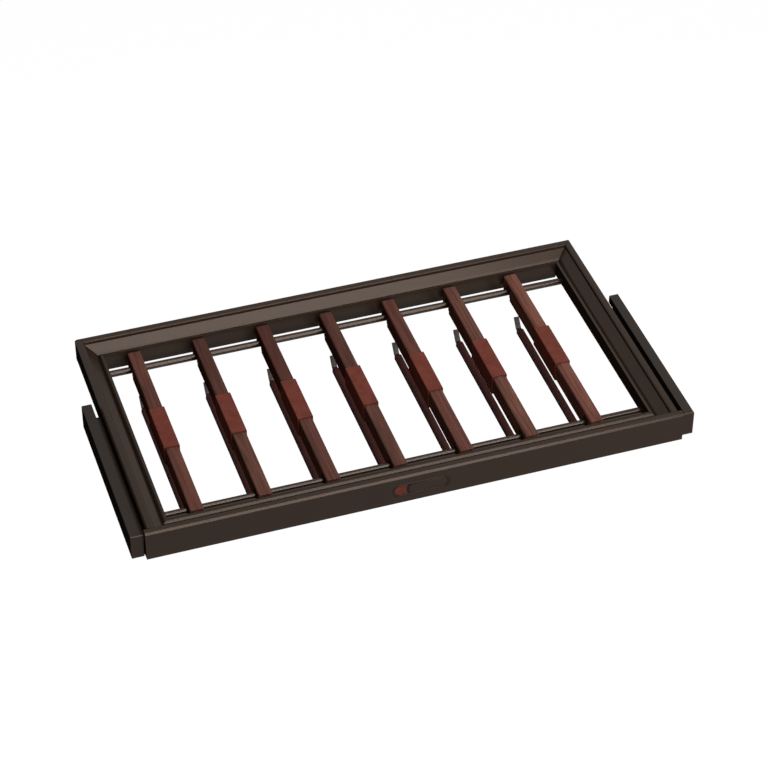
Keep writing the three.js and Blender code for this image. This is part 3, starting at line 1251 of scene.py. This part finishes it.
    def joined(self, name: str, shells: list[Shell]) -> Piece:
        """One piece from closed shells whose faces all look outwards.

        Args:
            name: Name of the piece.
            shells: Points and faces of each shell.

        Returns:
            The piece.
        """
        points, faces, offset = [], [], 0
        for verts, polygons in shells:
            points.append(verts)
            faces += [[index + offset for index in polygon] for polygon in polygons]
            offset += len(verts)
        return make_piece(name, np.vstack(points), faces, self.smooth)


@dataclass
class Hanger:
    """One hanger: wooden top bar, leather sleeve, steel strip, soft lower bar and two glides."""

    number: int
    smooth: float = 50.0
    grain_step: Point = (0.37, 0.11, 0.23)
    crown: float = 0.6 * MM
    crown_points: int = 13
    left_edge: float = 2.7 * MM
    right_edge: float = 1.3 * MM
    edge_turn: float = radians(78)
    edge_steps: int = 7
    low_edge: float = 0.5 * MM
    low_steps: int = 3
    nose: float = 1.3 * MM
    wall_run: float = 0.35 * MM
    seat: float = 0.3 * MM
    hook_reach: float = 1.3 * MM
    glide_edge: float = 0.3 * MM
    strip_thickness: float = 3.0 * MM
    strip_edge: float = 0.5 * MM
    strip_edge_steps: int = 3
    foot_bend: float = 8.0 * MM
    foot_steps: int = 10
    tip_bend: float = 6.0 * MM
    tip_steps: int = 8
    tip_angle: float = radians(52.5)
    tip_setback: float = 29.8 * MM
    tip_length: float = 16.6 * MM
    sleeve_corner: float = 1.5 * MM
    sleeve_steps: int = 6
    sleeve_wall: float = 1.65 * MM
    sleeve_bore_corner: float = 0.5 * MM
    sleeve_lip: float = 0.4 * MM
    sleeve_curl: float = 0.3
    sleeve_run: float = 6.0 * MM
    cut_share: float = 0.35
    grip_corner: float = 3.4 * MM
    grip_steps: int = 7
    grip_end: float = 1.0 * MM

    @property
    def lightness_and_sheen(self) -> float:
        """Timber tone from board to board, with a painted sheen on the right-hand bars."""
        return (0.8, 0.74, 0.72, 0.74, 0.82, 0.9, 1.02)[self.number - 1]

    @property
    def warmth(self) -> float:
        """Redness of the bar's timber, stronger on every other board."""
        return 0.4 if self.number % 2 else 0.1

    @property
    def rear_shade_share(self) -> float:
        """Share of painted shade over the bar's rear end, which differs from board to board."""
        return (0.35, 0.9, 1.0, 0.8, 0.55, 0.3, 0.0)[self.number - 1]

    @property
    def body(self) -> str:
        """Body that carries the hanger."""
        return f"hanger{self.number}"

    def node(self, part: str) -> str:
        """Name of one of the hanger's nodes."""
        return f"{self.body}_{part}"

    def build(self, palette: Palette) -> None:
        """Makes and dresses the hanger's pieces.

        Args:
            palette: Finishes.
        """
        wood = Walnut(
            f"walnut_{self.number}",
            shift=tuple(step * self.number for step in self.grain_step),
            warmth=self.warmth,
            lightness_and_sheen=self.lightness_and_sheen,
            rear_shade_share=self.rear_shade_share,
        ).material()
        self.finish(self.top_bar(), "top_bar", wood)
        sleeve = self.finish(self.sleeve(), "leather_sleeve", palette.leather)
        self.mark_cut_edges(sleeve, palette.cut_edge)
        self.finish(self.strip(), "steel_strip", palette.strip)
        self.finish(self.grip(), "lower_bar", palette.grip)
        for end in ("front", "rear"):
            glide = rounded_node(self.node(f"{end}_glide"), self.glide_edge)
            dress(glide, palette.glide)

    def finish(self, piece: Piece, part: str, material: Material) -> Piece:
        """Lets a new piece stand for its node, ride on the hanger and take its finish.

        Args:
            piece: New piece.
            part: Node name without the hanger's prefix.
            material: Finish.

        Returns:
            The piece.
        """
        flat_shading(piece)
        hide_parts(self.node(part))
        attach(piece, self.body)
        return dress(piece, material)

    def bar_stations(self) -> tuple[Array, Array, Array]:
        """Places along the top bar, with the height of its underside and its inset at each.

        The underside steps up at each hook. The inset grows towards both ends as a quarter
        circle, so that the end edges are round.

        Returns:
            Y places, underside heights and insets.
        """
        low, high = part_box(self.node("top_bar"))
        front_low, front_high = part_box(self.node("front_glide"))
        rear_low, rear_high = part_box(self.node("rear_glide"))
        seat, run = self.seat, self.wall_run
        slot_top = front_high.z + seat
        hook = front_low.z - 2 * seat - self.hook_reach
        steps = [
            (front_low.y - seat - run, hook), (front_low.y - seat, slot_top),
            (front_high.y + seat, slot_top), (front_high.y + seat + run, low.z),
            (rear_low.y - seat - run, low.z), (rear_low.y - seat, slot_top),
            (rear_high.y + seat, slot_top), (rear_high.y + seat + run, hook),
        ]
        ease, inset = round_end(self.nose)
        end = np.full(len(ease), hook)
        places = np.concatenate([low.y + ease, [y for y, _ in steps], high.y - ease[::-1]])
        under = np.concatenate([end, [z for _, z in steps], end])
        insets = np.concatenate([inset, np.zeros(len(steps)), inset[::-1]])
        return places, under, insets

    def top_bar(self) -> Piece:
        """The wooden bar: a crowned section carried along Y whose underside follows the hooks.

        Each section point is a corner place, which follows half width, underside and top, plus a
        fixed offset of its corner arc. The crown is the top less its height times the square of
        the distance from the middle.

        Returns:
            The piece.
        """
        low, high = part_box(self.node("top_bar"))
        places, under, insets = self.bar_stations()
        half = (high.x - low.x) / 2 - insets
        top = high.z - insets
        section = np.concatenate([
            self.low_corner(half, under + insets, Side.RIGHT),
            self.top_corner(half, top, self.right_edge, Side.RIGHT),
            self.crown_line(half, top),
            self.top_corner(half, top, self.left_edge, Side.LEFT)[:, ::-1],
            self.low_corner(half, under + insets, Side.LEFT)[:, ::-1],
        ], axis=1)
        middle = (low.x + high.x) / 2
        verts = np.stack([
            middle + section[..., 0],
            np.broadcast_to(places[:, None], section.shape[:2]),
            section[..., 1],
        ], axis=-1)
        faces = turned(tube_faces(len(places), section.shape[1]))
        return make_piece(f"{self.body}_top_bar_finish", verts, faces, self.smooth)

    def low_corner(self, half: Array, bottom: Array, side: Side) -> Array:
        """Quarter arc of the low edge at each station: its centre is one radius in and up.

        Args:
            half: Half width at each station.
            bottom: Height of the underside at each station.
            side: Side of the edge.

        Returns:
            Array of shape stations by points by two, going upwards.
        """
        quarter = arc((0, 0), self.low_edge, -pi / 2, pi / 2, self.low_steps)
        across = side.sign * ((half - self.low_edge)[:, None] + quarter[None, :, 0])
        upward = (bottom + self.low_edge)[:, None] + quarter[None, :, 1]
        return np.stack([across, upward], axis=-1)

    def top_corner(self, half: Array, top: Array, edge: float, side: Side) -> Array:
        """Arc of a top edge at each station, which ends on the crown.

        Args:
            half: Half width at each station.
            top: Height of the crown's middle at each station.
            edge: Radius of the edge.
            side: Side of the edge.

        Returns:
            Array of shape stations by points by two, going upwards.
        """
        bend = arc((0, 0), edge, 0, self.edge_turn, self.edge_steps)
        shoulder = top - self.crown * ((half - edge) / half) ** 2
        across = side.sign * ((half - edge)[:, None] + bend[None, :, 0])
        upward = (shoulder - edge)[:, None] + bend[None, :, 1]
        return np.stack([across, upward], axis=-1)

    def crown_line(self, half: Array, top: Array) -> Array:
        """Crowned top: the height falls with the square of the distance from the middle.

        Args:
            half: Half width at each station.
            top: Height of the crown's middle at each station.

        Returns:
            Array of shape stations by points by two, from right to left.
        """
        share = np.linspace(0, 1, self.crown_points)[None, :]
        right = (half - self.right_edge)[:, None]
        left = (half - self.left_edge)[:, None]
        across = right - share * (right + left)
        upward = top[:, None] - self.crown * (across / half[:, None]) ** 2
        return np.stack([across, upward], axis=-1)

    def sleeve(self) -> Piece:
        """The leather sleeve: a thick tube of rounded section along Y, with soft cut ends.

        The section loop runs outside from one end to the other and back inside, so that the
        surface closes on itself as a torus does.

        Returns:
            The piece.
        """
        low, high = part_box(self.node("leather_sleeve"))
        middle = (low + high) / 2
        width, height = high.x - low.x, high.z - low.z
        wall, lip, run = self.sleeve_wall, self.sleeve_lip, self.sleeve_run
        curl = self.sleeve_curl * lip
        stations = [
            (low.y, lip), (low.y + curl, curl), (low.y + lip, 0.0), (low.y + run, 0.0),
            (high.y - run, 0.0), (high.y - lip, 0.0), (high.y - curl, curl), (high.y, lip),
            (high.y, wall), (low.y, wall),
        ]
        rings = []
        for y, inset in stations:
            corner = max(self.sleeve_corner - inset, self.sleeve_bore_corner)
            outline = rounded_box_outline(
                width - 2 * inset, height - 2 * inset, corner, self.sleeve_steps,
            )
            rings.append(at_depth(outline + (middle.x, middle.z), y))
        faces = turned(closed_faces(len(stations), len(rings[0])))
        return make_piece(f"{self.body}_sleeve_finish", np.array(rings), faces, self.smooth)

    def mark_cut_edges(self, sleeve: Piece, material: Material) -> None:
        """Gives the sleeve's two end rims the raw colour of cut leather.

        Args:
            sleeve: The sleeve.
            material: Finish of the cut.
        """
        low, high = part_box(self.node("leather_sleeve"))
        reach = self.cut_share * self.sleeve_lip
        y = face_depths(sleeve)
        second_finish(sleeve, material, (y < low.y + reach) | (y > high.y - reach))

    def strip(self) -> Piece:
        """The bent steel strip: a rounded flat section carried down, along and up in the YZ plane.

        The path is straight runs joined by arcs. At each point the section's thickness lies along
        the path's normal and its width along X.

        Returns:
            The piece.
        """
        low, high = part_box(self.node("steel_strip"))
        glide_low, glide_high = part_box(self.node("rear_glide"))
        half = self.strip_thickness / 2
        upright = low.y + half
        axis = low.z + half
        rod = (glide_low.y + glide_high.y) / 2
        foot = arc(
            (upright + self.foot_bend, axis + self.foot_bend),
            self.foot_bend, pi, pi / 2, self.foot_steps,
        )
        tip = arc(
            (rod - self.tip_setback, axis + self.tip_bend),
            self.tip_bend, -pi / 2, self.tip_angle, self.tip_steps,
        )
        ahead = np.array([cos(self.tip_angle), sin(self.tip_angle)])
        line = np.vstack([[upright, high.z], foot, tip, tip[-1] + self.tip_length * ahead])
        step = unit(np.diff(line, axis=0))
        along = unit(np.vstack([step[:1], step[:-1] + step[1:], step[-1:]]))
        path = np.column_stack([np.full(len(line), (low.x + high.x) / 2), line])
        across = np.tile([1.0, 0, 0], (len(line), 1))
        upward = np.column_stack([np.zeros(len(line)), -along[:, 1], along[:, 0]])
        outline = rounded_box_outline(
            high.x - low.x, self.strip_thickness, self.strip_edge, self.strip_edge_steps,
        )
        rings = carried(outline, path, across, upward)
        faces = turned(tube_faces(len(line), len(outline)))
        return make_piece(f"{self.body}_strip_finish", rings, faces)

    def grip(self) -> Piece:
        """The soft lower bar: a rounded section along Y, drawn in at both ends round the strip.

        Returns:
            The piece.
        """
        low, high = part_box(self.node("lower_bar"))
        width, height = high.x - low.x, high.z - low.z
        ease, inset = round_end(self.grip_end)
        places = np.concatenate([low.y + ease, high.y - ease[::-1]])
        insets = np.concatenate([inset, inset[::-1]])
        outline = rounded_box_outline(width, height, self.grip_corner, self.grip_steps)
        scale = 1 - 2 * insets / min(width, height)
        rings = drawn_rings(outline, scale, places, (low + high) / 2, 1)
        faces = turned(tube_faces(len(places), len(outline)))
        return make_piece(f"{self.body}_grip_finish", rings, faces, self.smooth)


@dataclass
class Slide:
    """One telescopic slide: cover, intermediate member and drawer member."""

    side: Side
    edge: float = 0.55 * MM
    inner_edge: float = 0.3 * MM
    cap_chamfer: float = 1.15 * MM
    reach: float = 0.05 * MM

    def build(self, palette: Palette) -> None:
        """Makes and dresses the slide's pieces.

        Args:
            palette: Finishes.
        """
        name = self.side.value
        dress(rounded_node(f"{name}_slide_cover", self.edge), palette.slide)
        drawer = rounded_node(f"{name}_slide_drawer_member", self.inner_edge)
        self.chamfer_cap(drawer)
        dress(drawer, palette.across)
        inner = rounded_node(f"{name}_slide_intermediate", self.inner_edge)
        dress(inner, palette.zinc)

    def chamfer_cap(self, drawer: Piece) -> None:
        """Chamfers the upper front edge of the drawer member's cap.

        Args:
            drawer: Drawer member, before its edge rounding.
        """
        low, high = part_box(f"{self.side.value}_slide_drawer_member")
        edit = bmesh.new()
        edit.from_mesh(drawer.data)
        edges = [
            edge for edge in edit.edges
            if all(
                max(abs(vert.co.y - low.y), abs(vert.co.z - high.z)) < self.reach
                for vert in edge.verts
            )
        ]
        LOG.info("%s: %d cap edges chamfered", drawer.name, len(edges))
        chamfer_edges(edit, edges, self.cap_chamfer)
        edit.to_mesh(drawer.data)
        edit.free()


# Studio


@dataclass(frozen=True)
class Lamp:
    """Soft rectangular light, level across, that looks at the object's middle."""

    name: str
    direction: Point
    distance: float
    width: float
    height: float
    power: float

    def build(self) -> None:
        """Makes the light."""
        data = bpy.data.lights.new(self.name, "AREA")
        data.shape = "RECTANGLE"
        data.size = self.width
        data.size_y = self.height
        data.energy = self.power
        direction = Vector(self.direction).normalized()
        across = (Vector((1, 0, 0)) - direction.x * direction).normalized()
        upward = direction.cross(across)
        light = linked(self.name, data)
        light.location = direction * self.distance
        light.rotation_mode = "QUATERNION"
        turn = Matrix((across, upward, direction)).transposed()
        light.rotation_quaternion = turn.to_quaternion()


@dataclass
class Studio:
    """Pale floor, white surround, three lights in front, one on each side, and the camera."""

    camera_place: Point = (-0.9282, -2.86125, 2.57555)
    camera_pitch: float = radians(49.779)
    camera_turn: float = radians(-18.297)
    lens: float = 122.05
    sensor: float = 36.0
    clip_end: float = 100.0
    floor_drop: float = 2.2
    floor_half: float = 9.0
    floor_tone: float = 0.12
    floor_rough: float = 0.9
    floor_glow: float = 0.965
    ambient: float = 0.1
    lamps: tuple[Lamp, ...] = (
        Lamp("front_low", (0.16, -0.94, 0.285), 3.43, 1.8, 0.6, 42.0),
        Lamp("front_middle", (0.20, -0.65, 0.73), 3.2, 1.7, 0.75, 42.0),
        Lamp("front_high", (0.11, -0.195, 0.975), 3.15, 1.8, 0.6, 38.0),
        Lamp("right_key", (0.80, -0.25, 0.55), 3.2, 1.6, 1.6, 46.0),
        Lamp("left_fill", (-0.80, -0.35, 0.45), 3.2, 1.6, 1.6, 8.0),
    )

    def build(self) -> None:
        """Sets up everything round the object."""
        self.view()
        self.camera()
        self.world()
        self.floor()
        for lamp in self.lamps:
            lamp.build()

    def view(self) -> None:
        """Sets the plain view transform."""
        bpy.context.scene.view_settings.view_transform = "Standard"

    def camera(self) -> None:
        """Places the camera at the photograph's viewpoint."""
        data = bpy.data.cameras.new("camera")
        data.lens = self.lens
        data.sensor_width = self.sensor
        data.clip_end = self.clip_end
        camera = linked("camera", data)
        camera.location = self.camera_place
        camera.rotation_euler = (self.camera_pitch, 0, self.camera_turn)
        bpy.context.scene.camera = camera

    def world(self) -> None:
        """White to the camera and in metal and glass, a dim even light to the object."""
        world = bpy.data.worlds.new("surround")
        world.use_nodes = True
        tree = world.node_tree
        background = tree.nodes["Background"]
        background.inputs["Color"].default_value = (1, 1, 1, 1)
        level = tree.nodes.new("ShaderNodeMapRange")
        level.inputs["To Min"].default_value = self.ambient
        level.inputs["To Max"].default_value = 1.0
        tree.links.new(self.seen(tree), level.inputs["Value"])
        tree.links.new(level.outputs["Result"], background.inputs["Strength"])
        bpy.context.scene.world = world

    def seen(self, tree: bpy.types.NodeTree) -> Socket:
        """A factor that is 1 for camera, glossy and transmission rays.

        Args:
            tree: Node tree that gets the nodes.

        Returns:
            The factor socket.
        """
        path = tree.nodes.new("ShaderNodeLightPath")
        total = path.outputs["Is Camera Ray"]
        for name in ("Is Glossy Ray", "Is Transmission Ray"):
            either = tree.nodes.new("ShaderNodeMath")
            either.operation = "MAXIMUM"
            tree.links.new(total, either.inputs[0])
            tree.links.new(path.outputs[name], either.inputs[1])
            total = either.outputs[0]
        return total

    def floor(self) -> None:
        """A pale floor far below the rack: a dim surface that takes shadows, plus a seen glow."""
        z = CAD_LOW.z - self.floor_drop
        half = self.floor_half
        corners = np.array([
            [-half, -half, z], [half, -half, z], [half, half, z], [-half, half, z],
        ])
        floor = make_piece("floor", corners, [[0, 1, 2, 3]])
        graph = Graph("floor_paper")
        graph.set(
            Base_Color=(self.floor_tone,) * 3, Roughness=self.floor_rough, Specular_IOR_Level=0.0,
        )
        glow = graph.node("Emission")
        total = graph.node("AddShader")
        strength = graph.math("MULTIPLY", self.seen(graph.tree), self.floor_glow)
        graph.link(strength, glow.inputs["Strength"])
        graph.link(graph.shader.outputs[0], total.inputs[0])
        graph.link(glow.outputs[0], total.inputs[1])
        graph.link(total.outputs[0], graph.tree.nodes["Material Output"].inputs["Surface"])
        floor.data.materials.append(graph.material)


def main() -> None:
    """Builds the studio and every sub-assembly in order, and logs each piece."""
    logging.basicConfig(level=logging.INFO, format="%(message)s")
    Studio().build()
    palette = Palette()
    MouldedFrame().build(palette)
    Badge().build(palette)
    for side in Side:
        Slide(side).build(palette)
    for number in range(1, 8):
        Hanger(number).build(palette)


if __name__ == "__main__":
    main()
